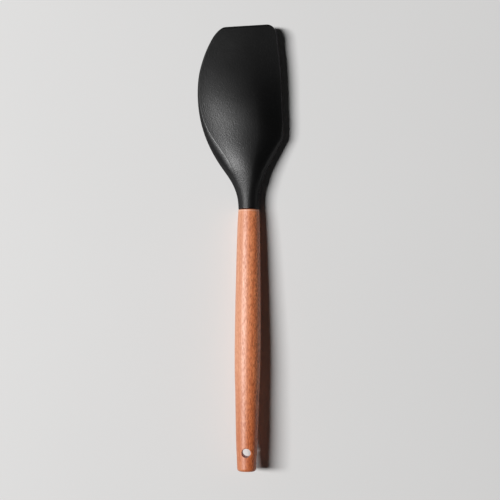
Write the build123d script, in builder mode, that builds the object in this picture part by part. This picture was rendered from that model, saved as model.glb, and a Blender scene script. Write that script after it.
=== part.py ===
"""Silicone spatula: an overmoulded head on a turned beech handle, lying flat side up.

Millimetres. +Y runs along the spatula to the tip of the blade, +Z is up and z = 0 is the
surface that it rests on. The origin is below the middle of the spatula, which lies
on the belly behind its neck, so that the handle rises towards its end and the blade towards
its tip.
"""

import math
import os

from build123d import *

os.makedirs("parts", exist_ok=True)

# The whole spatula: the handle meets the head at a flush round neck
head_length = 132.3
handle_length = 188.0
neck_diameter = 15.0
left_reach = 37.6
right_reach = 24.6

# How it lies: the handle and the blade both rise from the neck
handle_rise = 3.15
blade_rise = 1.9
bend_length = 18.0
neck_clearance = 0.57

# Blade: height of the crown and depth of the belly, from the plane of the rim
crown_height = 8.6
belly_depth = 8.5
tip_half_thickness = 1.5
tip_skew = 4.0
flank_corner_radius = 8.0
lip_bevel = 0.35
hole_turn = 3.7

# Turned handle
bulge_diameter = 18.6
end_diameter = 13.4
end_radius = 2.0
shoulder_radius = 0.7
hanging_hole_diameter = 6.4
hanging_hole_inset = 13.4

# Core: a flat stiffener, the rod welded to it and the glue around the rod
core_thickness = 1.5
core_start = 20.0
core_length = 82.0
core_neck_width = 9.0
core_left_reach = 23.0
core_right_reach = 11.0
core_corner_radius = 4.0
keying_hole_diameter = 6.0
rod_diameter = 6.0
rod_in_handle = 70.0
rod_on_core = 18.0
glue_gap = 0.35
glue_pool = 2.0

neck_radius = neck_diameter / 2

# Outline of the head seen from above. Edge points are (share of the head's length,
# share of the way from the neck's side to the furthest reach on that side); tip points
# are shares of the same reach, along the skewed tip.
left_side_shares = [
    (0.092, 0.063),
    (0.157, 0.199),
    (0.223, 0.402),
    (0.288, 0.588),
    (0.352, 0.734),
    (0.450, 0.892),
    (0.547, 0.977),
    (0.651, 1.000),
    (0.743, 0.960),
    (0.820, 0.868),
    (0.880, 0.765),
    (0.914, 0.691),
]
left_corner_share = 0.620
left_tip_share = 0.471
right_flare_shares = [(0.095, 0.025), (0.157, 0.150), (0.212, 0.290)]
right_corner_shares = (0.393, 1.010)
right_side_shares = [(0.590, 0.925), (0.780, 0.835), (0.935, 0.711)]
right_tip_corner_share = 0.767
right_tip_share = 0.460
corner_roundness = 0.60

# Sections of the head: where along its length, height of the crown and depth of the belly
# (shares of the largest), place of the crown (share of the reach to the right, or to the left
# where negative), height and width of the shoulder beside it (shares of the crown's height and
# of its distance from the rim), how much steeper the shoulder is than the average slope, and
# how sharply the rim's flank turns into the shoulder at its top (0 round, 1 a crease)
section_shares = [
    (0.000, neck_radius / crown_height, neck_radius / belly_depth, 0.00, 0.7071, 0.293, 2.41, 0.00),
    (0.050, 0.880, 0.887, 0.00, 0.706, 0.293, 2.38, 0.00),
    (0.100, 0.915, 0.900, 0.05, 0.705, 0.295, 2.25, 0.00),
    (0.157, 0.945, 0.930, 0.12, 0.745, 0.330, 1.81, 0.03),
    (0.212, 0.962, 0.965, 0.17, 0.760, 0.355, 1.46, 0.12),
    (0.267, 0.942, 0.980, 0.20, 0.715, 0.325, 1.37, 0.21),
    (0.320, 0.893, 0.950, 0.22, 0.645, 0.245, 1.25, 0.30),
    (0.376, 0.835, 0.870, 0.23, 0.555, 0.158, 1.08, 0.38),
    (0.430, 0.793, 0.780, 0.24, 0.465, 0.097, 0.86, 0.40),
    (0.485, 0.755, 0.690, 0.24, 0.405, 0.060, 0.71, 0.40),
    (0.540, 0.695, 0.600, 0.19, 0.400, 0.042, 0.68, 0.40),
    (0.594, 0.620, 0.520, 0.12, 0.430, 0.033, 0.70, 0.40),
    (0.650, 0.525, 0.440, 0.04, 0.490, 0.027, 0.76, 0.40),
    (0.703, 0.432, 0.370, -0.05, 0.560, 0.024, 0.86, 0.40),
    (0.758, 0.350, 0.310, -0.13, 0.650, 0.024, 0.96, 0.38),
    (0.812, 0.283, 0.265, -0.20, 0.740, 0.029, 1.10, 0.30),
    (0.880, 0.225, 0.225, -0.27, 0.820, 0.042, 1.20, 0.20),
]
# Where sections are drawn: close together at the neck, then evenly along the body
neck_station_shares = [0.012, 0.028]
body_station_count = 40
# The rounded tip: sections at these shares of the head's length back from it
tip_section_shares = [0.088, 0.064, 0.046, 0.032, 0.021, 0.0125, 0.0065, 0.0025, 0.0006]
tip_shoulder_share = 0.95
right_shoulder_share = 0.78
right_shoulder_span = (0.20, 0.50)
shoulder_run = 0.26
crown_run = 0.39
skew_start_share = 0.40
skew_end_share = 0.88

# Turned profile: (share of the handle's length, share of the way from the neck's radius
# to the bulge's), then the same from the bulge's radius to the end's
swell_shares = [(0.119, 0.48), (0.272, 0.75), (0.426, 0.947)]
bulge_share = 0.540
taper_shares = [(0.729, 0.31), (0.881, 0.60), (0.956, 0.86)]

# Stiffener: (share of its length, share of its reach on that side)
core_right_shares = [(0.45, 1.00), (1.00, 0.85)]
core_left_shares = [(1.00, 0.90), (0.62, 1.00)]
keying_hole_shares = [(0.42, -0.22), (0.67, -0.30), (0.88, -0.32)]


def on_left(along_share, reach_share):
    """Plan point of the left edge."""
    reach = neck_radius + reach_share * (left_reach - neck_radius)
    return Vector(-reach, along_share * head_length)


def on_right(along_share, reach_share):
    """Plan point of the right edge."""
    reach = neck_radius + reach_share * (right_reach - neck_radius)
    return Vector(reach, along_share * head_length)


def on_tip(offset):
    """Plan point of the skewed tip line at a distance to the right of the axis."""
    return Vector(offset, head_length + offset * math.tan(math.radians(tip_skew)))


def rounded(start, corner, end):
    """Control points of a soft corner between two points on its sides."""
    return (
        start,
        start + (corner - start) * corner_roundness,
        end + (corner - end) * corner_roundness,
        end,
    )


# The head's two edges in plan, from the neck to the tip
left_side = [on_left(*point) for point in left_side_shares]
left_corner = on_tip(-left_corner_share * left_reach)
left_tip = on_tip(-left_tip_share * left_reach)
right_flare = [on_right(*point) for point in right_flare_shares]
right_corner = on_right(*right_corner_shares)
right_side = [on_right(*point) for point in right_side_shares]
right_tip_corner = on_tip(right_tip_corner_share * right_reach)
right_tip = on_tip(right_tip_share * right_reach)

with BuildLine() as left_edge:
    Spline(
        (-neck_radius, 0),
        *left_side,
        tangents=[(0, 1), left_corner - left_side[-1]],
    )
    Bezier(*rounded(left_side[-1], left_corner, left_tip))

with BuildLine() as right_edge:
    Spline((neck_radius, 0), *right_flare, tangents=[(0, 1), right_corner - right_flare[-1]])
    Line(right_flare[-1], right_corner)
    Spline(
        right_corner,
        *right_side,
        tangents=[right_side[0] - right_corner, right_tip_corner - right_side[-1]],
    )
    fillet(right_edge.vertices().sort_by_distance(right_corner)[0], radius=flank_corner_radius)
    Bezier(*rounded(right_side[-1], right_tip_corner, right_tip))

# The middle of the joint between handle and head, with the spatula centred on the origin
handle_extent = (
    (handle_length - end_radius) * math.cos(math.radians(handle_rise))
    + (end_diameter / 2 - end_radius) * math.sin(math.radians(handle_rise))
    + end_radius
)
head_extent = right_tip.Y * math.cos(math.radians(blade_rise))
joint = Vector(
    (left_reach - right_reach) / 2,
    (handle_extent - head_extent) / 2,
    neck_radius + neck_clearance,
)

# The head's centre line: it leaves the handle's axis and bends up into the blade's plane
right = Vector(1, 0, 0)
to_head = Vector(0, 1, 0).rotate(Axis.X, -handle_rise)
to_tip = Vector(0, 1, 0).rotate(Axis.X, blade_rise)
bend_angle = handle_rise + blade_rise
bend_radius = bend_length / math.radians(bend_angle)
bend_chord = 2 * bend_radius * math.sin(math.radians(bend_angle / 2))
along_chord = Vector(0, 1, 0).rotate(Axis.X, (blade_rise - handle_rise) / 2)

with BuildLine() as spine:
    bend = TangentArc(joint, joint + along_chord * bend_chord, tangent=to_head)
    Line(bend @ 1, bend @ 1 + to_tip * (head_length - bend_length))

blade_plane = Plane(origin=bend @ 1, x_dir=right, z_dir=right.cross(to_tip))
handle_plane = Plane(origin=joint, x_dir=right, z_dir=to_head.cross(right))
bore_plane = Plane(origin=joint, x_dir=right, z_dir=-to_head)


def smooth_step(value, low, high):
    """0 below low, 1 above high, and an even ramp between."""
    share = min(max((value - low) / (high - low), 0), 1)
    return share * share * (3 - 2 * share)


def plan_reach(edge, along, skew):
    """Signed distance from the axis to a plan edge, along a line skewed by an angle."""
    sight = Axis((0, along), (math.cos(math.radians(skew)), math.sin(math.radians(skew))))
    for piece in edge.edges():
        for point in piece.find_intersection_points(sight):
            return (point - Vector(0, along)).dot(sight.direction)
    raise ValueError(f"the outline is not crossed at {along}")


def section_plane(along, skew):
    """Upright plane across the head, its x to the right and its y up."""
    ahead = centre_line.tangent_at(along, position_mode=PositionMode.LENGTH)
    up = right.cross(ahead)
    across = right * math.cos(math.radians(skew)) + ahead * math.sin(math.radians(skew))
    origin = centre_line.position_at(along, position_mode=PositionMode.LENGTH)
    return Plane(origin=origin, x_dir=across, z_dir=across.cross(up))


def section_values(along_share):
    """Values of a section between the table's rows, on smooth curves through them."""
    last = len(section_shares) - 1
    row = max(i for i in range(last) if section_shares[i][0] <= along_share)
    before, start, end, after = (
        section_shares[i] for i in (max(row - 1, 0), row, row + 1, min(row + 2, last))
    )
    gap = end[0] - start[0]
    share = (along_share - start[0]) / gap
    leaving = [gap * (e - b) / (end[0] - before[0]) for e, b in zip(end, before)]
    arriving = [gap * (a - s) / (after[0] - start[0]) for a, s in zip(after, start)]
    ease = smooth_step(share, 0, 1)
    values = [
        s + ease * (e - s) + share * (1 - share) * ((1 - share) * leave - share * arrive)
        for s, e, leave, arrive in zip(start, end, leaving, arriving)
    ]
    return values[1:]


def toward(start, end, share):
    """Point at a share of the way between two."""
    return start + (end - start) * share


def half_side(rim, crown, height, shoulder, width, steepness, sharpness):
    """Two curves from an upright start at the rim, over a shoulder, to the level crown."""
    softness = 1 - sharpness
    foot = Vector(rim, 0)
    side = Vector(rim + width * (crown - rim), shoulder * height)
    crest = Vector(crown, height)
    reach = crown - side.X
    slope = steepness * (height - side.Y) / reach
    knee = Vector(rim, side.Y - slope * (side.X - rim))
    turn = math.pi / 2 - abs(math.atan(slope))
    tightness = 4 / 3 * math.tan(turn / 4) / math.tan(turn / 2)
    leaving = side + Vector(1, slope) * shoulder_run * reach
    arriving = crest - Vector(crown_run * reach, 0)
    return (
        [foot, toward(foot, knee, tightness), toward(side, knee, tightness * softness), side],
        [side, leaving, arriving, crest],
    )


def draw_section(plane, left, far_right, top, bottom, place, shoulder, form, drop):
    """Closed section, drawn round from its left rim over the crown and under the belly."""
    crown = place * (far_right if place > 0 else -left)
    flank_up, brow_up = half_side(left, crown, top, shoulder, *form)
    flank_right, brow_right = half_side(far_right, crown, top, shoulder * drop, *form)
    flank_under, brow_under = half_side(far_right, crown, -bottom, shoulder * drop, *form)
    flank_back, brow_back = half_side(left, crown, -bottom, shoulder, *form)
    with BuildSketch(plane) as section:
        with BuildLine():
            Bezier(*flank_up)
            Bezier(*brow_up)
            Bezier(*reversed(brow_right))
            Bezier(*reversed(flank_right))
            Bezier(*flank_under)
            Bezier(*brow_under)
            Bezier(*reversed(brow_back))
            Bezier(*reversed(flank_back))
        make_face()
    return section.sketch


# Silicone head: sections from the round neck through the thick belly to the thin tip
centre_line = spine.wires()[0]
last_share, last_crown, last_belly, last_place, last_shoulder, *last_form = section_shares[-1]
last_gap = (1 - last_share) * head_length
crown_slope = (last_crown * crown_height - tip_half_thickness) / last_gap
belly_slope = (last_belly * belly_depth - tip_half_thickness) / last_gap

first_share = section_shares[1][0]
body_station_shares = [
    first_share + (last_share - first_share) * station / body_station_count
    for station in range(body_station_count + 1)
]
neck_sides = (-neck_radius, neck_radius, neck_radius, neck_radius)
first_place, first_shoulder, *first_form = section_shares[0][3:]
sections = [
    draw_section(section_plane(0, 0), *neck_sides, first_place, first_shoulder, first_form, 1)
]
for along_share in neck_station_shares + body_station_shares:
    crown_share, belly_share, place, shoulder, *form = section_values(along_share)
    along = along_share * head_length
    skew = tip_skew * smooth_step(along_share, skew_start_share, skew_end_share)
    sections.append(
        draw_section(
            section_plane(along, skew),
            plan_reach(left_edge, along, skew),
            plan_reach(right_edge, along, skew),
            crown_share * crown_height,
            belly_share * belly_depth,
            place,
            shoulder,
            form,
            1 - (1 - right_shoulder_share) * smooth_step(along_share, *right_shoulder_span),
        )
    )
for gap_share in tip_section_shares:
    gap = gap_share * head_length
    along = head_length - gap
    nose = math.sqrt(1 - (1 - min(gap / tip_half_thickness, 1)) ** 2)
    blend = smooth_step(gap_share, 0, 1 - last_share)
    sections.append(
        draw_section(
            section_plane(along, tip_skew),
            plan_reach(left_edge, along, tip_skew),
            plan_reach(right_edge, along, tip_skew),
            nose * tip_half_thickness + gap * crown_slope,
            nose * tip_half_thickness + gap * belly_slope,
            last_place,
            tip_shoulder_share + blend * (last_shoulder - tip_shoulder_share),
            last_form,
            right_shoulder_share,
        )
    )

# Flat stiffener in the blade's plane, with holes that the silicone keys into
def on_core(along_share, side_reach):
    """Point in the blade's plane, along the stiffener and to one side of the axis."""
    return (side_reach, core_start - bend_length + along_share * core_length)


with BuildPart() as core_plate:
    with BuildSketch(blade_plane) as core_outline:
        with BuildLine():
            Polyline(
                on_core(0, -core_neck_width / 2),
                on_core(0, core_neck_width / 2),
                *[on_core(along, reach * core_right_reach) for along, reach in core_right_shares],
                *[on_core(along, -reach * core_left_reach) for along, reach in core_left_shares],
                close=True,
            )
        make_face()
        fillet(core_outline.vertices(), radius=core_corner_radius)
        with Locations(*[on_core(along, reach * core_left_reach) for along, reach in keying_hole_shares]):
            Circle(keying_hole_diameter / 2, mode=Mode.SUBTRACT)
    extrude(amount=core_thickness / 2, both=True)

# Rod: straight in the handle, bent with the neck, slotted where it straddles the stiffener
with BuildPart() as tang_rod:
    with BuildLine() as rod_line:
        Line(joint - to_head * rod_in_handle, bend @ 0)
        add(bend)
        Line(bend @ 1, bend @ 1 + to_tip * (core_start + rod_on_core - bend_length))
    with BuildSketch(bore_plane.offset(rod_in_handle)):
        Circle(rod_diameter / 2)
    sweep()
    with BuildSketch(blade_plane):
        with Locations((0, core_start - bend_length)):
            Rectangle(2 * rod_diameter, 2 * rod_on_core, align=(Align.CENTER, Align.MIN))
    extrude(amount=core_thickness / 2, both=True, mode=Mode.SUBTRACT)

# Cured glue between the rod and the wall of the handle's bore
bore_depth = rod_in_handle + glue_pool
with BuildPart() as glue_sleeve:
    with BuildSketch(bore_plane):
        Circle(rod_diameter / 2 + glue_gap)
    extrude(amount=bore_depth)
    with BuildSketch(bore_plane):
        Circle(rod_diameter / 2)
    extrude(amount=rod_in_handle, mode=Mode.SUBTRACT)

# Silicone moulded round the stiffener and the front of the rod
with BuildPart() as silicone_head:
    loft(sections)
    with BuildSketch(handle_plane):
        with Locations((neck_radius - lip_bevel / 2, -lip_bevel / 2)):
            Rectangle(4 * lip_bevel, 2 * lip_bevel, rotation=-45, align=(Align.CENTER, Align.MIN))
    revolve(axis=Axis(joint, to_head), mode=Mode.SUBTRACT)
    add(core_plate.part, mode=Mode.SUBTRACT)
    add(tang_rod.part, mode=Mode.SUBTRACT)

# Turned handle with a blind bore for the rod and a hole to hang it by
neck_to_bulge = bulge_diameter / 2 - neck_radius
bulge_to_end = bulge_diameter / 2 - end_diameter / 2
hole_axis = right.cross(to_head).rotate(Axis((0, 0, 0), to_head), -hole_turn)
hole_plane = Plane(
    origin=joint - to_head * (handle_length - hanging_hole_inset),
    x_dir=to_head.cross(hole_axis),
    z_dir=hole_axis,
)

with BuildPart() as beech_handle:
    with BuildSketch(handle_plane):
        with BuildLine():
            outer = Spline(
                (neck_radius, 0),
                *[
                    (neck_radius + swell * neck_to_bulge, along * handle_length)
                    for along, swell in swell_shares
                ],
                (bulge_diameter / 2, bulge_share * handle_length),
                *[
                    (bulge_diameter / 2 - taper * bulge_to_end, along * handle_length)
                    for along, taper in taper_shares
                ],
                (end_diameter / 2, handle_length),
            )
            Line((0, 0), (neck_radius, 0))
            Line((0, 0), (0, handle_length))
            Line((0, handle_length), (end_diameter / 2, handle_length))
        make_face()
    revolve(axis=Axis(joint, to_head))
    rims = beech_handle.edges().filter_by(GeomType.CIRCLE).sort_by_distance(joint)
    fillet(rims[0], radius=shoulder_radius)
    fillet(rims[-1], radius=end_radius)
    with BuildSketch(bore_plane):
        Circle(rod_diameter / 2 + glue_gap)
    extrude(amount=bore_depth, mode=Mode.SUBTRACT)
    with BuildSketch(hole_plane):
        Circle(hanging_hole_diameter / 2)
    extrude(amount=bulge_diameter, both=True, mode=Mode.SUBTRACT)

print("hanging hole", hole_plane.origin, hole_plane.z_dir)
pieces = {
    "silicone_head": silicone_head,
    "core_plate": core_plate,
    "tang_rod": tang_rod,
    "glue_sleeve": glue_sleeve,
    "beech_handle": beech_handle,
}
for name, piece in pieces.items():
    piece.part.label = name
    export_step(piece.part, f"parts/{name}.step")
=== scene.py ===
"""Silicone spatula: a black satin scraper head moulded on a turned beech handle.

Metres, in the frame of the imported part: +Y runs along the spatula to the tip of the blade, +Z is
up and z = 0 is the surface that it lies on. It rests on its neck and belly, so the handle rises
towards its end and the blade towards its tip.
"""

import math

import bmesh
import bpy
import numpy as np
from mathutils import Matrix, Vector


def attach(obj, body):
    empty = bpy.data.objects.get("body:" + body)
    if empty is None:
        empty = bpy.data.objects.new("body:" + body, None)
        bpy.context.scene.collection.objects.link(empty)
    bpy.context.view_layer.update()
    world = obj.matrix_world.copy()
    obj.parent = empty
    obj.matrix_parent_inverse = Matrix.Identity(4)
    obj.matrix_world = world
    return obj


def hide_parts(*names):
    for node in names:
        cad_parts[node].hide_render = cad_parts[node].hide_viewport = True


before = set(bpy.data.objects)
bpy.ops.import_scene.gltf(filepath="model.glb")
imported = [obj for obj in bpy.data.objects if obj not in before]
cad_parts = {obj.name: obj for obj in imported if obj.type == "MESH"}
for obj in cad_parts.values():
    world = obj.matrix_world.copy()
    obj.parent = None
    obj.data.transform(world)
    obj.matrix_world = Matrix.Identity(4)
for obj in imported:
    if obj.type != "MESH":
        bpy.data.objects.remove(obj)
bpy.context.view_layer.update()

bl_info = {
    "name": "Silicone Spatula",
    "version": (1, 0, 0),
    "blender": (4, 5, 0),
    "location": "3D View > Sidebar > Spatula",
    "description": "Builds a silicone scraper head on a turned beech handle",
    "category": "Add Mesh",
}

MM = 0.001
BODY = "root"

# How the spatula lies: the place of its joint, the rise of its handle and of its blade, the
# length of the bend between them, and the turn of its hanging hole
JOINT = Vector((6.5, 27.48, 8.07)) * MM
HANDLE_RISE = math.radians(3.15)
BLADE_RISE = math.radians(1.9)
BEND_LENGTH = 18.0 * MM
HOLE_TURN = math.radians(3.7)

# Plan of the head: (share of its length, share of the way from the neck to the widest place)
LEFT_SIDE = (
    (0.092, 0.063), (0.157, 0.199), (0.223, 0.402), (0.288, 0.588), (0.352, 0.734),
    (0.450, 0.892), (0.547, 0.977), (0.651, 1.000), (0.743, 0.960), (0.820, 0.868),
    (0.880, 0.765), (0.914, 0.691),
)
RIGHT_FLARE = ((0.095, 0.025), (0.157, 0.150), (0.212, 0.290))
RIGHT_CORNER = (0.393, 1.010)
RIGHT_SIDE = ((0.590, 0.925), (0.780, 0.835), (0.935, 0.711))
FLANK_ROUNDING = 8.0 * MM
CURVE_GAP = 0.1 * MM
# Each corner of the tip, and where its rounding ends on the tip, as shares of that side's reach
LEFT_TIP = (0.620, 0.471)
RIGHT_TIP = (0.767, 0.460)
CORNER_ROUNDNESS = 0.60
# Skew of the tip, and the shares of the length between which the sections turn to it
TIP_SKEW = math.radians(4.0)
SKEW_SPAN = (0.40, 0.88)
TINY = 1e-9

# Sections of the head: where along it, height of the crown, depth of the belly, place of the
# crown, height and width of the shoulder beside it, how much steeper it is than average, and
# how sharply the rim's flank turns into it
SECTIONS = np.array((
    (0.000, 0.8721, 0.8824, 0.00, 0.7071, 0.293, 2.41, 0.00),
    (0.050, 0.880, 0.887, 0.00, 0.706, 0.293, 2.38, 0.00),
    (0.100, 0.915, 0.900, 0.05, 0.705, 0.295, 2.25, 0.00),
    (0.157, 0.945, 0.930, 0.12, 0.745, 0.330, 1.81, 0.06),
    (0.212, 0.962, 0.965, 0.17, 0.760, 0.355, 1.46, 0.25),
    (0.267, 0.942, 0.980, 0.20, 0.715, 0.325, 1.37, 0.44),
    (0.320, 0.893, 0.950, 0.22, 0.645, 0.245, 1.25, 0.63),
    (0.376, 0.835, 0.870, 0.23, 0.555, 0.158, 1.08, 0.80),
    (0.430, 0.793, 0.780, 0.24, 0.465, 0.097, 0.86, 0.84),
    (0.485, 0.755, 0.690, 0.24, 0.405, 0.060, 0.71, 0.84),
    (0.540, 0.695, 0.600, 0.19, 0.400, 0.042, 0.68, 0.84),
    (0.594, 0.620, 0.520, 0.12, 0.430, 0.033, 0.70, 0.84),
    (0.650, 0.525, 0.440, 0.04, 0.490, 0.027, 0.76, 0.84),
    (0.703, 0.432, 0.370, -0.05, 0.560, 0.024, 0.86, 0.84),
    (0.758, 0.350, 0.310, -0.13, 0.650, 0.024, 0.96, 0.80),
    (0.812, 0.283, 0.265, -0.20, 0.740, 0.029, 1.10, 0.63),
    (0.880, 0.225, 0.225, -0.27, 0.820, 0.042, 1.20, 0.42),
))
# The right shoulder against the left one: how high and how wide it is beyond its span
RIGHT_SHOULDER = 0.78
RIGHT_SPAN = (0.2, 0.5)
RIGHT_WIDTH = 0.35
RIGHT_WIDTH_SPAN = (0.38, 0.48)
TIP_SHOULDER = 0.95
# How far the curve from shoulder to crown keeps its direction at each end
SHOULDER_RUN = 0.26
CROWN_RUN = 0.39
LIP_ROUNDING = 0.35 * MM
# Rings along the head, and points round each quarter of a ring, closer beside the knee
ROW_GAP = 1.0 * MM
NOSE_STEPS = 34
QUARTER_STEPS = 32
KNEE_CLOSENESS = 1.6
# Steps on each side of a shoulder where the silicone is more matt
SHOULDER_STEPS = 3

# Turned profile of the handle: (share of its length, share between the radii at its ends)
SWELL = ((0.119, 0.48), (0.272, 0.75), (0.426, 0.947))
BULGE_PLACE = 0.540
TAPER = ((0.729, 0.31), (0.881, 0.60), (0.956, 0.86))
HANDLE_SIZES = (
    "Length", "Neck radius", "Bulge radius", "End radius", "Shoulder rounding", "End rounding",
    "Bore radius", "Bore depth", "Hole radius", "Hole inset", "Hole rounding",
)

# Points of the grids that are bent into the handle and into the cutter of its hole
TURN_POINTS = 97
HANDLE_RINGS = 300
HOLE_RINGS = 41
BORE_SIDES = 64
CLOSED_SHARE = 1e-4
# Shares of the cutter's half height where its straight wall, its flare and its sides end
STRAIGHT_SHARE = 0.3
FLARE_SHARE = 0.9
SIDES_SHARE = 0.99
FLARE_TURN = math.radians(80)

# Points this close are merged, and edges that turn by more than this stay sharp
SEAM_REACH = 1e-7
GRID_SEAM_REACH = 1e-6
SHARP_TURN = math.radians(40)

# Grain of the silicone, and how far from the joint its matt neck and polished lip fade
GRAIN_SCALE = 1380.0
GRAIN_DEPTH = 0.074 * MM
NECK_FADE = (16 * MM, 36 * MM)
LIP_FADE = (0.8 * MM, 1.4 * MM)

# Growth rings of the beech: their spacing, how far they waver, and how far their pith lies to
# the left of the handle's axis and below it
RING_GAP = 2.1 * MM
RING_WAVER = 2.2 * MM
PITH_ASIDE = 31 * MM
PITH_BELOW = 22 * MM
# Painted light across the handle: paler beech as painted sheen where the key light falls on the
# left, redder beech with denser dark grain as painted shade on the right
PAINTED_SIDE_FADE = (-7 * MM, 8 * MM)
GOLDEN_TINT = (1.06, 1.14, 1.16)
DEEP_TINT = (0.72, 0.56, 0.45)
HANDLED_TINT = (0.82, 0.66, 0.52)
WOOD_GRAIN_DEPTH = 0.06 * MM
# How far from the joint the painted shade in the groove of the seam fades, the paler band beside
# it comes and goes, and the beech darkens where it is held
SEAM_SHADE_FADE = (0.35 * MM, 0.9 * MM)
PALE_BAND_START = (0.7 * MM, 1.1 * MM)
PALE_BAND_END = (1.3 * MM, 2.2 * MM)
HANDLED_FADE = (105 * MM, 170 * MM)

STEEL_COLOURS = ((0.48, 0.48, 0.49), (0.62, 0.62, 0.63))
BRUSHED_DEPTH = 0.02 * MM
GLUE_COLOURS = ((0.62, 0.48, 0.24), (0.74, 0.62, 0.38))

# The stage: a square floor, a broad key light and a camera that looks straight down
FLOOR_HALF = 6.0
KEY_SIZE = (0.71, 2.36)
KEY_DISTANCE = 5.0
KEY_ELEVATION = math.radians(53)
KEY_AZIMUTH = math.radians(176)
CAMERA_PLACE = (7.62 * MM, -2.0 * MM)
CAMERA_TURN = math.radians(0.48)
LENS = 93.8
SENSOR_WIDTH = 36.0


class HeadSettings(bpy.types.PropertyGroup):
    """Sizes and finish of the moulded head."""

    length: bpy.props.FloatProperty(
        name="Length", description="From the joint to the tip",
        default=132.3 * MM, unit="LENGTH",
    )
    neck_radius: bpy.props.FloatProperty(
        name="Neck radius", description="Radius of the round neck at the joint",
        default=7.5 * MM, unit="LENGTH",
    )
    left_reach: bpy.props.FloatProperty(
        name="Left reach", description="From the axis to the widest place of the left edge",
        default=37.6 * MM, unit="LENGTH",
    )
    right_reach: bpy.props.FloatProperty(
        name="Right reach", description="From the axis to the widest place of the right edge",
        default=24.6 * MM, unit="LENGTH",
    )
    crown: bpy.props.FloatProperty(
        name="Crown", description="Height of the crown above the rim",
        default=8.6 * MM, unit="LENGTH",
    )
    belly: bpy.props.FloatProperty(
        name="Belly", description="Depth of the belly below the rim",
        default=8.5 * MM, unit="LENGTH",
    )
    tip_half_thickness: bpy.props.FloatProperty(
        name="Tip half thickness", description="Radius of the rounded tip",
        default=1.5 * MM, unit="LENGTH",
    )
    colour: bpy.props.FloatVectorProperty(
        name="Colour", description="Colour of the silicone",
        default=(0.003, 0.003, 0.0031), subtype="COLOR", min=0, max=1,
    )
    roughness: bpy.props.FloatProperty(
        name="Roughness", description="Roughness of the satin surface",
        default=0.32, subtype="FACTOR", min=0, max=1,
    )


class HandleSettings(bpy.types.PropertyGroup):
    """Sizes and finish of the turned handle."""

    length: bpy.props.FloatProperty(
        name="Length", description="From the joint to the end",
        default=188.0 * MM, unit="LENGTH",
    )
    neck_radius: bpy.props.FloatProperty(
        name="Neck radius", description="Radius at the joint",
        default=7.5 * MM, unit="LENGTH",
    )
    bulge_radius: bpy.props.FloatProperty(
        name="Bulge radius", description="Radius at the widest place",
        default=9.3 * MM, unit="LENGTH",
    )
    end_radius: bpy.props.FloatProperty(
        name="End radius", description="Radius at the end",
        default=6.7 * MM, unit="LENGTH",
    )
    shoulder_rounding: bpy.props.FloatProperty(
        name="Shoulder rounding", description="Rounding of the edge at the joint",
        default=0.7 * MM, unit="LENGTH",
    )
    end_rounding: bpy.props.FloatProperty(
        name="End rounding", description="Rounding of the edge at the end",
        default=2.0 * MM, unit="LENGTH",
    )
    bore_radius: bpy.props.FloatProperty(
        name="Bore radius", description="Radius of the blind bore for the rod and its glue",
        default=3.35 * MM, unit="LENGTH",
    )
    bore_depth: bpy.props.FloatProperty(
        name="Bore depth", description="Depth of the blind bore from the joint",
        default=72.0 * MM, unit="LENGTH",
    )
    hole_radius: bpy.props.FloatProperty(
        name="Hole radius", description="Radius of the hanging hole",
        default=3.2 * MM, unit="LENGTH",
    )
    hole_inset: bpy.props.FloatProperty(
        name="Hole inset", description="From the end to the middle of the hanging hole",
        default=13.4 * MM, unit="LENGTH",
    )
    hole_rounding: bpy.props.FloatProperty(
        name="Hole rounding", description="Softened rim of the hanging hole",
        default=0.5 * MM, unit="LENGTH",
    )
    colour: bpy.props.FloatVectorProperty(
        name="Colour", description="Colour of the redder beech on the right",
        default=(0.94, 0.300, 0.112), subtype="COLOR", min=0, max=1,
    )
    # Painted sheen: this paler colour on the left of the handle, against the redder one on the
    # right, stands for the key light's sheen on the lit side
    painted_sheen_colour: bpy.props.FloatVectorProperty(
        name="Pale colour", description="Colour of the paler beech on the left",
        default=(0.655, 0.292, 0.168), subtype="COLOR", min=0, max=1,
    )
    fleck_colour: bpy.props.FloatVectorProperty(
        name="Fleck colour", description="Colour of the short flecks",
        default=(0.36, 0.072, 0.018), subtype="COLOR", min=0, max=1,
    )
    # A paler band on the wood beside the seam at the joint
    pale_band_colour: bpy.props.FloatVectorProperty(
        name="Worn colour", description="Colour of the worn edge at the joint",
        default=(0.80, 0.52, 0.38), subtype="COLOR", min=0, max=1,
    )


class StageSettings(bpy.types.PropertyGroup):
    """Floor, lights and camera."""

    floor_colour: bpy.props.FloatVectorProperty(
        name="Floor colour", description="Colour of the plain floor",
        default=(0.70, 0.695, 0.69), subtype="COLOR", min=0, max=1,
    )
    key_power: bpy.props.FloatProperty(
        name="Key power", description="Power of the key light", default=310.0, unit="POWER",
    )
    fill: bpy.props.FloatProperty(
        name="Fill", description="Strength of the even light from all sides",
        default=0.018, min=0,
    )
    camera_height: bpy.props.FloatProperty(
        name="Camera height", description="Height of the camera above the floor",
        default=950 * MM, unit="LENGTH",
    )


class Socket:
    """A node's output that sums in Python work on, each by adding a node for its maths."""

    def __init__(self, tree, output):
        self.tree = tree
        self.output = output

    def maths(self, operation, *others):
        """An operation on this value, and on others where it takes more than one."""
        return self.tree.maths(operation, self, *others)

    def __add__(self, other):
        return self.maths("ADD", other)

    def __sub__(self, other):
        return self.maths("SUBTRACT", other)

    def __mul__(self, other):
        return self.maths("MULTIPLY", other)

    def __truediv__(self, other):
        return self.maths("DIVIDE", other)

    def __pow__(self, other):
        return self.maths("POWER", other)

    def __radd__(self, other):
        return self.tree.maths("ADD", other, self)

    def __rsub__(self, other):
        return self.tree.maths("SUBTRACT", other, self)

    def __rmul__(self, other):
        return self.tree.maths("MULTIPLY", other, self)

    def above(self, limit):
        return self.maths("GREATER_THAN", limit)

    def part(self, place):
        """Another output of the same node, by its name or its number."""
        return Socket(self.tree, self.output.node.outputs[place])


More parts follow.
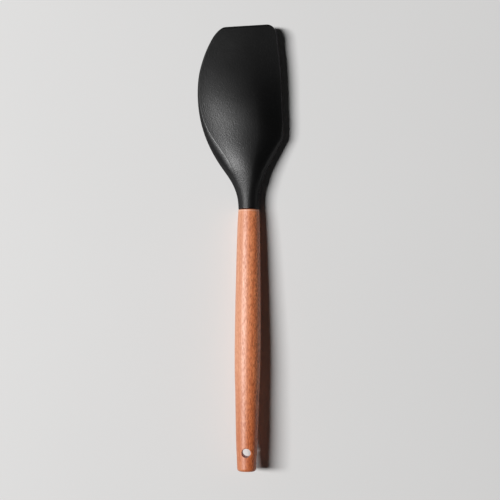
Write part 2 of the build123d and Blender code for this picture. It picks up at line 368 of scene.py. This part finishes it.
class Tree:
    """Adds nodes to a node tree, each with its settings and the values of its sockets."""

    def __init__(self, tree):
        self.tree = tree

    def add(self, kind, settings=None, *values, **named):
        """The first output of a new node. Values go to its sockets by order or by name."""
        node = self.tree.nodes.new(kind)
        for name, value in (settings or {}).items():
            if name == "points":
                self.set_points(node, value)
            else:
                setattr(node, name, value)
        for place, value in [*enumerate(values), *named.items()]:
            if isinstance(place, str):
                place = place.replace("_", " ")
            target = node.inputs[place]
            for one in value if isinstance(value, list) else [value]:
                if isinstance(one, Socket):
                    self.tree.links.new(one.output, target)
                elif one is not None:
                    target.default_value = one
        return Socket(self, node.outputs[0]) if node.outputs else None

    @staticmethod
    def set_points(node, points):
        curve = node.mapping.curves[0]
        while len(curve.points) < len(points):
            curve.points.new(0.5, 0.5)
        for point, place in zip(curve.points, points):
            point.location = place
        node.mapping.update()

    def maths(self, operation, *values):
        return self.add("ShaderNodeMath", {"operation": operation}, *values)

    def noise(self, place, scale, detail, **named):
        return self.add(
            "ShaderNodeTexNoise", None, Vector=place, Scale=scale, Detail=detail, **named,
        )

    def mix(self, factor, first, second, blend="MIX"):
        """Colours mixed by a factor. The node keeps five sockets of other kinds before them."""
        mixed = self.add(
            "ShaderNodeMix", {"data_type": "RGBA", "blend_type": blend},
            factor, *[None] * 5, first, second,
        )
        return mixed.part(2)

    def ramp(self, value, low, high, start=0.0, end=1.0):
        """A smooth rise from start to end while a value goes from low to high."""
        return self.add(
            "ShaderNodeMapRange", {"interpolation_type": "SMOOTHSTEP"},
            value, low, high, start, end,
        )


def new_material(name):
    """An empty material, its tree and the place of a point on the object."""
    material = bpy.data.materials.new(name)
    material.use_nodes = True
    material.node_tree.nodes.clear()
    tree = Tree(material.node_tree)
    return material, tree, tree.add("ShaderNodeTexCoord").part("Object")


def set_surface(tree, **values):
    """Ends a material's tree in a surface with these values."""
    shader = tree.add("ShaderNodeBsdfPrincipled", None, **values)
    tree.add("ShaderNodeOutputMaterial", None, Surface=shader)


def rgba(colour, strength=1.0):
    return (*(strength * channel for channel in colour), 1.0)


def silicone_material(settings):
    """Satin moulded silicone: nearly black, with the fine matt grain of its mould."""
    material, tree, place = new_material("black_silicone")
    grain = tree.noise(place, GRAIN_SCALE, 1.0)
    clouds = tree.noise(place, 70.0, 4.0)
    dust = tree.noise(place, 900.0, 2.0)
    colour = tree.mix(
        tree.ramp(dust, 0.55, 0.75), rgba(settings.colour), rgba(settings.colour, 2.0),
    )
    # The matt grain shades itself where it is seen at a flat angle
    edge = tree.ramp(tree.add("ShaderNodeLayerWeight", None, 0.5).part("Facing"), 0.10, 0.60)
    # More matt towards the joint, but for the polished lip, and along the shoulders
    ahead = tree.add("ShaderNodeSeparateXYZ", None, place).part("Y")
    neck, lip = (
        1 - tree.ramp(ahead, JOINT.y + start, JOINT.y + end)
        for start, end in (NECK_FADE, LIP_FADE)
    )
    shoulder = tree.add("ShaderNodeAttribute", {"attribute_name": "shoulder"}).part("Fac")
    matter = 0.5 * edge + 0.125 * neck - 0.17 * lip + 0.22 * shoulder
    bump = tree.add(
        "ShaderNodeBump", None, Strength=1.0, Distance=GRAIN_DEPTH,
        Height=grain * (1 + 1.5 * neck),
    )
    set_surface(
        tree, Base_Color=colour, Normal=bump, IOR=1.44,
        Roughness=settings.roughness - 0.02 + 0.05 * clouds + matter,
    )
    return material


def beech_material(settings):
    """Oiled beech: fine grain along the handle, growth rings and short dark pores."""
    material, tree, place = new_material("oiled_beech")
    along = tree.add(
        "ShaderNodeMapping", {"vector_type": "TEXTURE"},
        Vector=place, Location=JOINT, Rotation=(-HANDLE_RISE, 0, 0),
    )
    split = tree.add("ShaderNodeSeparateXYZ", None, along)
    distance = split.part("Y") * -1

    def stretched(across_scale, along_scale, shift=0.0):
        return tree.add(
            "ShaderNodeMapping", {"vector_type": "POINT"},
            Vector=along, Location=(shift, shift, shift),
            Scale=(across_scale, along_scale, across_scale),
        )

    def pores(across_scale, along_scale, shift, share):
        """Short dark dashes, a share of them left out."""
        cells = tree.add(
            "ShaderNodeTexVoronoi", {"feature": "F1"}, Scale=1.0, Randomness=1.0,
            Vector=stretched(across_scale, along_scale, shift),
        )
        chosen = tree.add("ShaderNodeSeparateColor", None, cells.part("Color"))
        return (1 - tree.ramp(cells, 0.18, 0.48)) * tree.ramp(chosen, share, share + 0.25)

    fibres = tree.noise(stretched(1500, 420), 1.0, 2.0, Roughness=0.6)
    waves = tree.noise(stretched(160, 12, 3.0), 1.0, 3.0)
    broad = tree.noise(stretched(140, 22, 7.0), 1.0, 2.0)
    # Growth rings round a pith that lies well to one side of the handle
    ring_x = split.part("X") + PITH_ASIDE
    ring_z = split.part("Z") + PITH_BELOW
    ring_radius = (ring_x * ring_x + ring_z * ring_z) ** 0.5 + (waves - 0.5) * RING_WAVER
    ring = (ring_radius / RING_GAP).maths("FRACT")
    late_wood = tree.ramp(ring, 0.45, 0.98) * (1 - tree.ramp(ring, 0.97, 1.0))
    fleck = pores(1500, 330, 1.0, 0.20).maths("MAXIMUM", pores(1150, 210, 5.0, 0.40))

    # Painted light across the handle: a paler colour as painted sheen on the lit left, and more
    # dark fibres and flecks as painted shade towards the right
    painted_side_shade = tree.ramp(split.part("X"), *PAINTED_SIDE_FADE)
    main = tree.mix(painted_side_shade, rgba(settings.painted_sheen_colour), rgba(settings.colour))
    golden = tree.mix(1.0, main, rgba(GOLDEN_TINT), "MULTIPLY")
    deep = tree.mix(1.0, main, rgba(DEEP_TINT), "MULTIPLY")
    colour = tree.mix(tree.ramp(broad, 0.35, 0.70), main, golden)
    colour = tree.mix(late_wood * 0.45, colour, deep)
    colour = tree.mix(tree.ramp(fibres, 0.38, 0.62) * (0.45 + 0.55 * painted_side_shade), colour, deep)
    colour = tree.mix(fleck * (0.32 + 0.66 * painted_side_shade), colour, rgba(settings.fleck_colour))
    handled = tree.ramp(distance, *HANDLED_FADE)
    colour = tree.mix(handled, colour, rgba(HANDLED_TINT), "MULTIPLY")
    # A paler band on the wood beside the seam
    pale_band = tree.ramp(distance, *PALE_BAND_START) * (1 - tree.ramp(distance, *PALE_BAND_END))
    colour = tree.mix(0.4 * pale_band, colour, rgba(settings.pale_band_colour))
    # Painted shade: the groove of the seam at the joint, darkened nearly to black
    seam_shade = 1 - tree.ramp(distance, *SEAM_SHADE_FADE)
    colour = tree.mix(seam_shade * 0.95, colour, rgba(settings.fleck_colour, 0.15))
    bump = tree.add(
        "ShaderNodeBump", None, Strength=1.0, Distance=WOOD_GRAIN_DEPTH,
        Height=fibres - 0.35 * fleck,
    )
    set_surface(
        tree, Base_Color=colour, Normal=bump, IOR=1.6,
        Roughness=0.40 + 0.10 * fibres + 0.12 * fleck,
    )
    return material


def steel_material():
    """Brushed steel of the hidden stiffener and rod."""
    material, tree, place = new_material("brushed_steel")
    brushed = tree.add(
        "ShaderNodeMapping", {"vector_type": "POINT"}, Vector=place, Scale=(3000, 90, 3000),
    )
    lines = tree.noise(brushed, 1.0, 3.0)
    bump = tree.add(
        "ShaderNodeBump", None, Strength=0.2, Distance=BRUSHED_DEPTH, Height=lines,
    )
    set_surface(
        tree, Base_Color=tree.mix(lines, *map(rgba, STEEL_COLOURS)), Metallic=1.0,
        Roughness=0.28 + 0.15 * lines, Normal=bump,
    )
    return material


def glue_material():
    """Cured amber glue."""
    material, tree, place = new_material("cured_glue")
    clouds = tree.noise(place, 400.0, 3.0)
    set_surface(
        tree, Base_Color=tree.mix(clouds, *map(rgba, GLUE_COLOURS)),
        Roughness=0.30 + 0.2 * clouds, IOR=1.5,
    )
    return material


def floor_material(settings):
    """Plain pale matt surface."""
    material, tree, place = new_material("pale_floor")
    clouds = tree.noise(place, 6.0, 3.0)
    colour = tree.mix(clouds, rgba(settings.floor_colour), rgba(settings.floor_colour, 0.97))
    set_surface(tree, Base_Color=colour, Roughness=0.6, IOR=1.4)
    return material


def cubic_between(t, gap, first, first_slope, last, last_slope):
    """Values on a cubic curve across a gap, between two values with given slopes."""
    return (
        (1 + 2 * t) * (1 - t) ** 2 * first + t * (1 - t) ** 2 * gap * first_slope
        + t ** 2 * (3 - 2 * t) * last + t ** 2 * (t - 1) * gap * last_slope
    )


def spline_through(points, start_tangent, end_tangent, steps=40):
    """Points on a smooth cubic curve through points, with given directions at its ends."""
    points = np.array(points, float)
    gaps = np.linalg.norm(np.diff(points, axis=0), axis=1)
    count = len(points)
    rows = np.zeros((count, count))
    right = np.zeros((count, 2))
    rows[0, 0] = rows[-1, -1] = 1
    right[0] = np.array(start_tangent) / np.linalg.norm(start_tangent)
    right[-1] = np.array(end_tangent) / np.linalg.norm(end_tangent)
    for i in range(1, count - 1):
        before, after = gaps[i - 1], gaps[i]
        rows[i, i - 1:i + 2] = after, 2 * (before + after), before
        slope_before = (points[i] - points[i - 1]) / before
        slope_after = (points[i + 1] - points[i]) / after
        right[i] = 3 * (after * slope_before + before * slope_after)
    tangents = np.linalg.solve(rows, right)
    curve = []
    for i, gap in enumerate(gaps):
        t = np.linspace(0, 1, steps, endpoint=False)[:, None]
        curve.append(
            cubic_between(t, gap, points[i], tangents[i], points[i + 1], tangents[i + 1])
        )
    return np.vstack([*curve, points[-1:]])


def bezier(controls, t):
    """Points of a cubic Bezier curve."""
    a, b, c, d = (np.asarray(point, float) for point in controls)
    t = t[:, None]
    return a * (1 - t) ** 3 + 3 * b * t * (1 - t) ** 2 + 3 * c * t ** 2 * (1 - t) + d * t ** 3


def soft_corner(start, corner, end, steps=60):
    """A rounded corner between two points on its sides."""
    start, corner, end = (np.asarray(point, float) for point in (start, corner, end))
    inner = start + (corner - start) * CORNER_ROUNDNESS, end + (corner - end) * CORNER_ROUNDNESS
    return bezier((start, *inner, end), np.linspace(0, 1, steps))


def fillet_corner(before, corner, after, radius, steps=12):
    """Arc that rounds a corner between two directions, as points."""
    start = (before - corner) / np.linalg.norm(before - corner)
    end = (after - corner) / np.linalg.norm(after - corner)
    half = math.acos(np.clip(np.dot(start, end), -1, 1)) / 2
    reach = radius / math.tan(half)
    middle = corner + (start + end) / np.linalg.norm(start + end) * radius / math.sin(half)
    first, last = corner + start * reach - middle, corner + end * reach - middle
    turn = math.pi - 2 * half
    shares = np.linspace(0, 1, steps)[:, None]
    arc = np.sin((1 - shares) * turn) * first + np.sin(shares * turn) * last
    return middle + arc / math.sin(turn)


def smooth_step(value, low, high):
    """A smooth rise from 0 to 1 while a value goes from low to high."""
    share = np.clip((value - low) / (high - low), 0, 1)
    return share * share * (3 - 2 * share)


def smooth_table(places, table):
    """Columns of a table read at places, on a curve through its rows."""
    known = table[:, 0]
    slopes = np.gradient(table[:, 1:], known, axis=0)
    row = np.clip(np.searchsorted(known, places) - 1, 0, len(known) - 2)
    gap = (known[row + 1] - known[row])[:, None]
    t = (places[:, None] - known[row][:, None]) / gap
    return cubic_between(
        t, gap, table[row, 1:], slopes[row], table[row + 1, 1:], slopes[row + 1],
    )


def head_edges(settings):
    """Plan of the left and right edges, from the neck to the tip."""
    length, neck = settings.length, settings.neck_radius

    def on_side(share, reach_share, reach):
        side = math.copysign(neck, reach) + reach_share * (reach - math.copysign(neck, reach))
        return np.array((side, share * length))

    def on_tip(offset):
        return np.array((offset, length + offset * math.tan(TIP_SKEW)))

    left = [on_side(*point, -settings.left_reach) for point in LEFT_SIDE]
    left_corner, left_tip = (on_tip(-share * settings.left_reach) for share in LEFT_TIP)
    flare = [on_side(*point, settings.right_reach) for point in RIGHT_FLARE]
    corner = on_side(*RIGHT_CORNER, settings.right_reach)
    right = [on_side(*point, settings.right_reach) for point in RIGHT_SIDE]
    tip_corner, right_tip = (on_tip(share * settings.right_reach) for share in RIGHT_TIP)
    left_edge = [
        spline_through([(-neck, 0), *left], (0, 1), left_corner - left[-1]),
        soft_corner(left[-1], left_corner, left_tip)[1:],
    ]
    flank = spline_through([corner, *right], right[0] - corner, tip_corner - right[-1])
    arc = fillet_corner(flare[-1], corner, right[0], FLANK_ROUNDING)
    right_edge = [
        spline_through([(neck, 0), *flare], (0, 1), corner - flare[-1]),
        arc,
        flank[flank[:, 1] > arc[-1, 1] + CURVE_GAP],
        soft_corner(right[-1], tip_corner, right_tip)[1:],
    ]
    return np.vstack(left_edge), np.vstack(right_edge)


def reach_of(edge, along, skew):
    """Signed distance from the axis to an edge, along a line skewed by an angle."""
    ahead = (edge[:, 1] - along) * math.cos(skew) - edge[:, 0] * math.sin(skew)
    aside = edge[:, 0] * math.cos(skew) + (edge[:, 1] - along) * math.sin(skew)
    after = int(np.argmax(ahead >= -TINY))
    if after == 0:
        return aside[0]
    share = -ahead[after - 1] / (ahead[after] - ahead[after - 1])
    return aside[after - 1] + share * (aside[after] - aside[after - 1])


def centre_line(along):
    """Point on the head's centre line and its rise there."""
    bend = (HANDLE_RISE + BLADE_RISE) / BEND_LENGTH
    first, rise = -HANDLE_RISE, -HANDLE_RISE + bend * min(along, BEND_LENGTH)
    beyond = max(along - BEND_LENGTH, 0)
    y = (math.sin(rise) - math.sin(first)) / bend + beyond * math.cos(rise)
    z = (math.cos(first) - math.cos(rise)) / bend + beyond * math.sin(rise)
    return np.array(JOINT) + (0, y, z), rise


def head_axes(rise):
    """Directions to the right, ahead and up in the head, where its centre line rises so."""
    ahead = np.array((0, math.cos(rise), math.sin(rise)))
    return np.array((1, 0, 0)), ahead, np.array((0, -math.sin(rise), math.cos(rise)))


def half_side(rim, crown, height, shoulder, width, steep, sharp, t):
    """Points from an upright start at the rim, over a shoulder, to a level end at the crown."""
    side = np.array((rim + width * (crown - rim), shoulder * height))
    reach = crown - side[0]
    slope = steep * (height - side[1]) / reach
    turn = math.pi / 2 - abs(math.atan(slope))
    tight = 4 / 3 * math.tan(turn / 4) / math.tan(turn / 2)
    foot = np.array((rim, 0))
    knee = np.array((rim, side[1] - slope * (side[0] - rim)))
    arriving = side + (knee - side) * tight * (1 - sharp)
    # Points lie close together beside the knee, where the surface turns fastest
    start = foot + (knee - foot) * tight
    flank = bezier((foot, start, arriving, side), 1 - (1 - t) ** KNEE_CLOSENESS)
    leaving = side + np.array((1, slope)) * SHOULDER_RUN * reach
    crest = np.array((crown, height))
    return flank, bezier((side, leaving, crest - np.array((CROWN_RUN * reach, 0)), crest), t ** 2)


def head_ring(
    left, right, top, bottom, place, shoulder, width, steep, sharp, right_drop, right_width,
):
    """Ring of a section, round from its left rim over the crown and under the belly."""
    crown = place * right if place > 0 else -place * left
    t = np.linspace(0, 1, QUARTER_STEPS // 2 + 1)
    ring = []
    for rim, height, reverse in (
        (left, top, False), (right, top, True), (right, -bottom, False), (left, -bottom, True),
    ):
        low, wide = (right_drop, right_width) if rim == right else (1, 1)
        flank, brow = half_side(
            rim, crown, height, shoulder * low, width * wide, steep, sharp, t,
        )
        points = np.vstack((flank[:-1], brow))
        ring.append(points[::-1][:-1] if reverse else points[:-1])
    return np.vstack(ring)


def head_rows(settings):
    """Rings of the head from the neck to the tip, in the spatula's frame."""
    length, nose_radius = settings.length, settings.tip_half_thickness
    left_edge, right_edge = head_edges(settings)
    last_share = SECTIONS[-1, 0]
    body = np.arange(LIP_ROUNDING, last_share * length, ROW_GAP)
    gaps = length - np.arange(body[-1] + ROW_GAP, length - 2 * nose_radius, ROW_GAP)
    nose = nose_radius * 2 * (1 - np.sin(np.linspace(0, math.pi / 2, NOSE_STEPS)))
    alongs = np.concatenate([body, length - gaps, length - nose])
    shares = alongs / length
    table = smooth_table(np.clip(shares, 0, last_share), SECTIONS)
    heights = table[:, :2] * np.array((settings.crown, settings.belly))
    last_gap = (1 - last_share) * length
    last_heights = SECTIONS[-1, 1:3] * np.array((settings.crown, settings.belly))
    slopes = (last_heights - nose_radius) / last_gap
    rings = []
    for along, share, height, full in zip(alongs, shares, heights, table[:, 2:]):
        gap = max(length - along, 0)
        skew = TIP_SKEW * float(smooth_step(share, *SKEW_SPAN))
        if share > last_share:
            round_end = math.sqrt(max(1 - (1 - min(gap / nose_radius, 1)) ** 2, 0))
            height = round_end * nose_radius + gap * slopes
            full[1] = TIP_SHOULDER + smooth_step(gap / last_gap, 0, 1) * (full[1] - TIP_SHOULDER)
        right_drop = 1 - (1 - RIGHT_SHOULDER) * smooth_step(share, *RIGHT_SPAN)
        right_width = 1 - (1 - RIGHT_WIDTH) * smooth_step(share, *RIGHT_WIDTH_SPAN)
        ring = head_ring(
            reach_of(left_edge, along, skew), reach_of(right_edge, along, skew),
            *height, *full, right_drop, right_width,
        )
        origin, rise = centre_line(along)
        right, ahead, up = head_axes(rise)
        across = right * math.cos(skew) + ahead * math.sin(skew)
        rings.append(origin + ring[:, :1] * across + ring[:, 1:] * up)
    return rings


def lip_rows(ring, rounding, steps=5):
    """Rings that round the end of the neck into its flat face."""
    centre, rise = centre_line(0)
    _, ahead, _ = head_axes(rise)
    flat = ring - centre
    flat -= np.outer(flat @ ahead, ahead)
    radius = np.linalg.norm(flat, axis=1, keepdims=True)
    rows = []
    for step in range(steps):
        angle = math.pi / 2 * step / steps
        inset = rounding * (1 - math.sin(angle))
        depth = rounding * (1 - math.cos(angle))
        rows.append(centre + flat * (1 - inset / radius) + ahead * depth)
    return rows


def shoulder_nearness():
    """How near each point of a ring is to one of its four shoulders, from 0 to 1."""
    steps = np.arange(4 * QUARTER_STEPS) % QUARTER_STEPS - QUARTER_STEPS // 2
    return np.clip(1 - np.abs(steps) / SHOULDER_STEPS, 0, 1)


def mesh_from_rows(name, rings):
    """Closed mesh through rings of points, with both ends capped and its shoulders marked."""
    count = len(rings[0])
    mesh = bmesh.new()
    shoulder = mesh.verts.layers.float.new("shoulder")
    marks = shoulder_nearness()
    rows = [[mesh.verts.new(point) for point in ring] for ring in rings]
    for row in rows:
        for vert, nearness in zip(row, marks):
            vert[shoulder] = nearness
    for first, second in zip(rows, rows[1:]):
        for i in range(count):
            j = (i + 1) % count
            mesh.faces.new((first[i], first[j], second[j], second[i]))
    mesh.faces.new(rows[0])
    bmesh.ops.remove_doubles(mesh, verts=mesh.verts, dist=SEAM_REACH)
    bmesh.ops.recalc_face_normals(mesh, faces=mesh.faces)
    for face in mesh.faces:
        face.smooth = True
    data = bpy.data.meshes.new(name)
    mesh.to_mesh(data)
    mesh.free()
    return data


def merged_copy(node):
    """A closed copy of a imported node's mesh, as a cutter."""
    mesh = bmesh.new()
    mesh.from_mesh(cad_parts[node].data)
    bmesh.ops.remove_doubles(mesh, verts=mesh.verts, dist=SEAM_REACH)
    data = bpy.data.meshes.new("cutter_" + node)
    mesh.to_mesh(data)
    mesh.free()
    cutter = bpy.data.objects.new(data.name, data)
    bpy.context.collection.objects.link(cutter)
    return cutter


def plain_piece(source, name, material):
    """The finished piece: a source object's evaluated mesh, with nothing live left on it."""
    bpy.context.view_layer.update()
    evaluated = source.evaluated_get(bpy.context.evaluated_depsgraph_get())
    data = bpy.data.meshes.new_from_object(evaluated)
    data.name = name
    piece = bpy.data.objects.new(name, data)
    bpy.context.collection.objects.link(piece)
    bpy.data.objects.remove(source)
    data.materials.clear()
    data.materials.append(material)
    return piece


def mark_sharp(mesh):
    """Smooths a mesh but for the edges that turn sharply."""
    work = bmesh.new()
    work.from_mesh(mesh)
    for edge in work.edges:
        edge.smooth = len(edge.link_faces) == 2 and edge.calc_face_angle(0) < SHARP_TURN
    for face in work.faces:
        face.smooth = True
    work.to_mesh(mesh)
    work.free()


class SPATULA_OT_head(bpy.types.Operator):
    """Builds the silicone head over its hidden stiffener."""

    bl_idname = "spatula.head"
    bl_label = "Silicone head"

    def execute(self, context):
        settings = context.scene.spatula_head
        rings = head_rows(settings)
        rings = lip_rows(rings[0], LIP_ROUNDING) + rings
        source = bpy.data.objects.new("head_form", mesh_from_rows("head_form", rings))
        context.collection.objects.link(source)
        cutters = [merged_copy("core_plate"), merged_copy("tang_rod")]
        for cutter in cutters:
            cut = source.modifiers.new(cutter.name, "BOOLEAN")
            cut.operation = "DIFFERENCE"
            cut.solver = "EXACT"
            cut.object = cutter
        head = plain_piece(source, "head_silicone", silicone_material(settings))
        for cutter in cutters:
            bpy.data.objects.remove(cutter)
        mark_sharp(head.data)
        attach(head, BODY)
        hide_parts("silicone_head")
        return {"FINISHED"}


def turned_radius(tree, given, share):
    """Radius of the turned profile: out from the neck to the bulge, then in to the end."""
    neck, bulge, end = (given.part(name + " radius") for name in ("Neck", "Bulge", "End"))
    swell, taper = (
        tree.add("ShaderNodeFloatCurve", {"points": points}, 1.0, share)
        for points in (
            [(0, 0), *SWELL, (BULGE_PLACE, 1), (1, 1)],
            [(0, 0), (BULGE_PLACE, 0), *TAPER, (1, 1)],
        )
    )
    return neck + swell * (bulge - neck) - taper * (bulge - end)


def bent_grid(tree, rings, *position):
    """A flat grid, bent to the position worked out at each point and merged at its seams."""
    grid = tree.add(
        "GeometryNodeMeshGrid", None, Size_X=1.0, Size_Y=1.0,
        Vertices_X=TURN_POINTS, Vertices_Y=rings,
    )
    bent = tree.add(
        "GeometryNodeSetPosition", None, Geometry=grid,
        Position=tree.add("ShaderNodeCombineXYZ", None, *position),
    )
    return tree.add(
        "GeometryNodeMergeByDistance", None, Geometry=bent, Distance=GRID_SEAM_REACH,
    )


def turned_form(tree, given, place):
    """The solid handle along +Y, rounded at both ends."""
    turn = (place + 0.5) * math.tau
    row = place.part("Y") + 0.5
    share = 0.5 - 0.5 * (row * math.pi).maths("COSINE")
    length = given.part("Length")
    radius = turned_radius(tree, given, share)
    along = share * length
    for rounding, gap in (
        (given.part("Shoulder rounding"), along), (given.part("End rounding"), length - along),
    ):
        depth = (rounding - gap).maths("MAXIMUM", 0.0)
        radius = radius - (rounding - (rounding * rounding - depth * depth) ** 0.5)
    radius = radius * (row.above(CLOSED_SHARE) * (1 - row.above(1 - CLOSED_SHARE)))
    return bent_grid(
        tree, HANDLE_RINGS, radius * turn.maths("COSINE"), along, radius * turn.maths("SINE"),
    )


def bore_cutter(tree, given):
    """Cuts the blind bore for the rod."""
    bore = tree.add(
        "GeometryNodeMeshCylinder", None, Vertices=BORE_SIDES,
        Radius=given.part("Bore radius"), Depth=2 * given.part("Bore depth"),
    )
    return tree.add("GeometryNodeTransform", None, Geometry=bore, Rotation=(math.pi / 2, 0, 0))


def hole_cutter(tree, given, place):
    """Cuts the hanging hole. It flares where it leaves the round surface, to soften the rim."""
    turn = (place + 0.5) * math.tau
    level = place.part("Y") * 2
    height = level.maths("ABSOLUTE")
    length, rounding = given.part("Length"), given.part("Hole rounding")
    middle = length - given.part("Hole inset")
    side_radius = turned_radius(tree, given, middle / length)

    def rise_between(start, end, top):
        """A straight rise from 0 to the top, over a span of the height."""
        return tree.add("ShaderNodeMapRange", None, height, start, end, 0.0, top)

    flare = rise_between(STRAIGHT_SHARE, FLARE_SHARE, FLARE_TURN)
    wall = given.part("Hole radius") + rounding * (1 - flare.maths("COSINE"))
    edge = wall * turn.maths("COSINE")
    surface = (side_radius * side_radius - edge * edge) ** 0.5
    rise = (surface - rounding) * rise_between(0.0, STRAIGHT_SHARE, 1.0)
    rise = rise + rounding * flare.maths("SINE")
    rise = rise + rise_between(FLARE_SHARE, 1.0, 1.0) * side_radius
    wall = wall * (1 - height.above(SIDES_SHARE))
    return bent_grid(
        tree, HOLE_RINGS, wall * turn.maths("COSINE"), middle + wall * turn.maths("SINE"),
        level.maths("SIGN") * rise,
    )


def handle_tree():
    """Geometry tree of a turned handle, along +Y from its neck, with its bore and hole."""
    group = bpy.data.node_groups.new("turned_handle", "GeometryNodeTree")
    for name in HANDLE_SIZES:
        socket = group.interface.new_socket(name, in_out="INPUT", socket_type="NodeSocketFloat")
        socket.subtype = "DISTANCE"
    group.interface.new_socket("Material", in_out="INPUT", socket_type="NodeSocketMaterial")
    group.interface.new_socket("Geometry", in_out="OUTPUT", socket_type="NodeSocketGeometry")
    tree = Tree(group)
    given = tree.add("NodeGroupInput")
    place = tree.add("ShaderNodeSeparateXYZ", None, tree.add("GeometryNodeInputPosition"))
    turned = tree.add(
        "GeometryNodeMeshBoolean", {"operation": "DIFFERENCE", "solver": "EXACT"},
        turned_form(tree, given, place),
        [bore_cutter(tree, given), hole_cutter(tree, given, place)],
    )
    turned = tree.add("GeometryNodeRealizeInstances", None, turned)
    turned = tree.add(
        "GeometryNodeSetMaterial", None, Geometry=turned, Material=given.part("Material"),
    )
    tree.add("NodeGroupOutput", None, turned)
    return group


class SPATULA_OT_handle(bpy.types.Operator):
    """Turns the beech handle and drills its hanging hole."""

    bl_idname = "spatula.handle"
    bl_label = "Beech handle"

    def execute(self, context):
        settings = context.scene.spatula_handle
        source = bpy.data.objects.new("handle_form", bpy.data.meshes.new("handle_form"))
        context.collection.objects.link(source)
        material = beech_material(settings)
        group = handle_tree()
        turned = source.modifiers.new("turned", "NODES")
        turned.node_group = group
        values = {
            name: getattr(settings, name.lower().replace(" ", "_")) for name in HANDLE_SIZES
        }
        values["Material"] = material
        for socket in group.interface.items_tree:
            if socket.in_out == "INPUT":
                turned[socket.identifier] = values[socket.name]
        handle = plain_piece(source, "handle_beech", material)
        pose = Matrix.Translation(JOINT) @ Matrix.Rotation(math.pi, 4, "Z")
        pose = pose @ Matrix.Rotation(HANDLE_RISE, 4, "X") @ Matrix.Rotation(HOLE_TURN, 4, "Y")
        handle.data.transform(pose)
        mark_sharp(handle.data)
        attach(handle, BODY)
        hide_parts("beech_handle")
        return {"FINISHED"}


class SPATULA_OT_core(bpy.types.Operator):
    """Finishes the hidden stiffener, rod and glue."""

    bl_idname = "spatula.core"
    bl_label = "Hidden core"

    def execute(self, context):
        steel = steel_material()
        finishes = {"core_plate": steel, "tang_rod": steel, "glue_sleeve": glue_material()}
        for node, material in finishes.items():
            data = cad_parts[node].data
            data.materials.clear()
            data.materials.append(material)
        return {"FINISHED"}


def lay_floor(context, settings):
    half = FLOOR_HALF
    corners = [(-half, -half, 0), (half, -half, 0), (half, half, 0), (-half, half, 0)]
    data = bpy.data.meshes.new("floor")
    data.from_pydata(corners, [], [(0, 1, 2, 3)])
    data.materials.append(floor_material(settings))
    floor = bpy.data.objects.new("floor", data)
    context.collection.objects.link(floor)


def hang_key_light(context, settings):
    """A broad light high on the left, turned to the middle of the floor."""
    data = bpy.data.lights.new("key", "AREA")
    data.shape = "RECTANGLE"
    data.size, data.size_y = KEY_SIZE
    data.energy = settings.key_power
    key = bpy.data.objects.new("key", data)
    toward = Vector((
        math.cos(KEY_ELEVATION) * math.cos(KEY_AZIMUTH),
        math.cos(KEY_ELEVATION) * math.sin(KEY_AZIMUTH),
        math.sin(KEY_ELEVATION),
    ))
    key.location = toward * KEY_DISTANCE
    key.rotation_mode = "QUATERNION"
    key.rotation_quaternion = toward.to_track_quat("Z", "Y")
    context.collection.objects.link(key)


def light_world(context, settings):
    """A faint even light from all sides, which the camera alone sees as white."""
    world = bpy.data.worlds.new("studio")
    world.use_nodes = True
    world.node_tree.nodes.clear()
    tree = Tree(world.node_tree)
    seen = tree.add("ShaderNodeLightPath").part("Is Camera Ray")
    strength = settings.fill + seen * (1 - settings.fill)
    light = tree.add("ShaderNodeBackground", None, (1, 1, 1, 1), strength)
    tree.add("ShaderNodeOutputWorld", None, light)
    context.scene.world = world


def set_camera(context, settings):
    data = bpy.data.cameras.new("camera")
    data.lens = LENS
    data.sensor_width = SENSOR_WIDTH
    camera = bpy.data.objects.new("camera", data)
    camera.location = (*CAMERA_PLACE, settings.camera_height)
    camera.rotation_euler = (0, 0, CAMERA_TURN)
    context.collection.objects.link(camera)
    context.scene.camera = camera


class SPATULA_OT_stage(bpy.types.Operator):
    """Sets the floor, the lights and the camera."""

    bl_idname = "spatula.stage"
    bl_label = "Stage"

    def execute(self, context):
        settings = context.scene.spatula_stage
        lay_floor(context, settings)
        hang_key_light(context, settings)
        light_world(context, settings)
        set_camera(context, settings)
        context.scene.view_settings.view_transform = "Standard"
        return {"FINISHED"}


class SPATULA_PT_panel(bpy.types.Panel):
    """Lists the pieces and their settings."""

    bl_idname = "SPATULA_PT_panel"
    bl_label = "Silicone Spatula"
    bl_space_type = "VIEW_3D"
    bl_region_type = "UI"
    bl_category = "Spatula"

    def draw(self, context):
        scene = context.scene
        for group, operators in (
            (scene.spatula_stage, (SPATULA_OT_stage,)),
            (scene.spatula_head, (SPATULA_OT_head, SPATULA_OT_core)),
            (scene.spatula_handle, (SPATULA_OT_handle,)),
        ):
            box = self.layout.box()
            for name in group.bl_rna.properties.keys():
                if name not in ("rna_type", "name"):
                    box.prop(group, name)
            for operator in operators:
                box.operator(operator.bl_idname)


CLASSES = (
    HeadSettings, HandleSettings, StageSettings, SPATULA_OT_stage, SPATULA_OT_head,
    SPATULA_OT_handle, SPATULA_OT_core, SPATULA_PT_panel,
)


def register():
    for cls in CLASSES:
        bpy.utils.register_class(cls)
    bpy.types.Scene.spatula_head = bpy.props.PointerProperty(type=HeadSettings)
    bpy.types.Scene.spatula_handle = bpy.props.PointerProperty(type=HandleSettings)
    bpy.types.Scene.spatula_stage = bpy.props.PointerProperty(type=StageSettings)


def unregister():
    del bpy.types.Scene.spatula_stage
    del bpy.types.Scene.spatula_handle
    del bpy.types.Scene.spatula_head
    for cls in reversed(CLASSES):
        bpy.utils.unregister_class(cls)


def main():
    """Builds the stage and every piece."""
    register()
    bpy.ops.spatula.stage()
    bpy.ops.spatula.head()
    bpy.ops.spatula.handle()
    bpy.ops.spatula.core()
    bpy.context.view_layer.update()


if __name__ == "__main__":
    main()
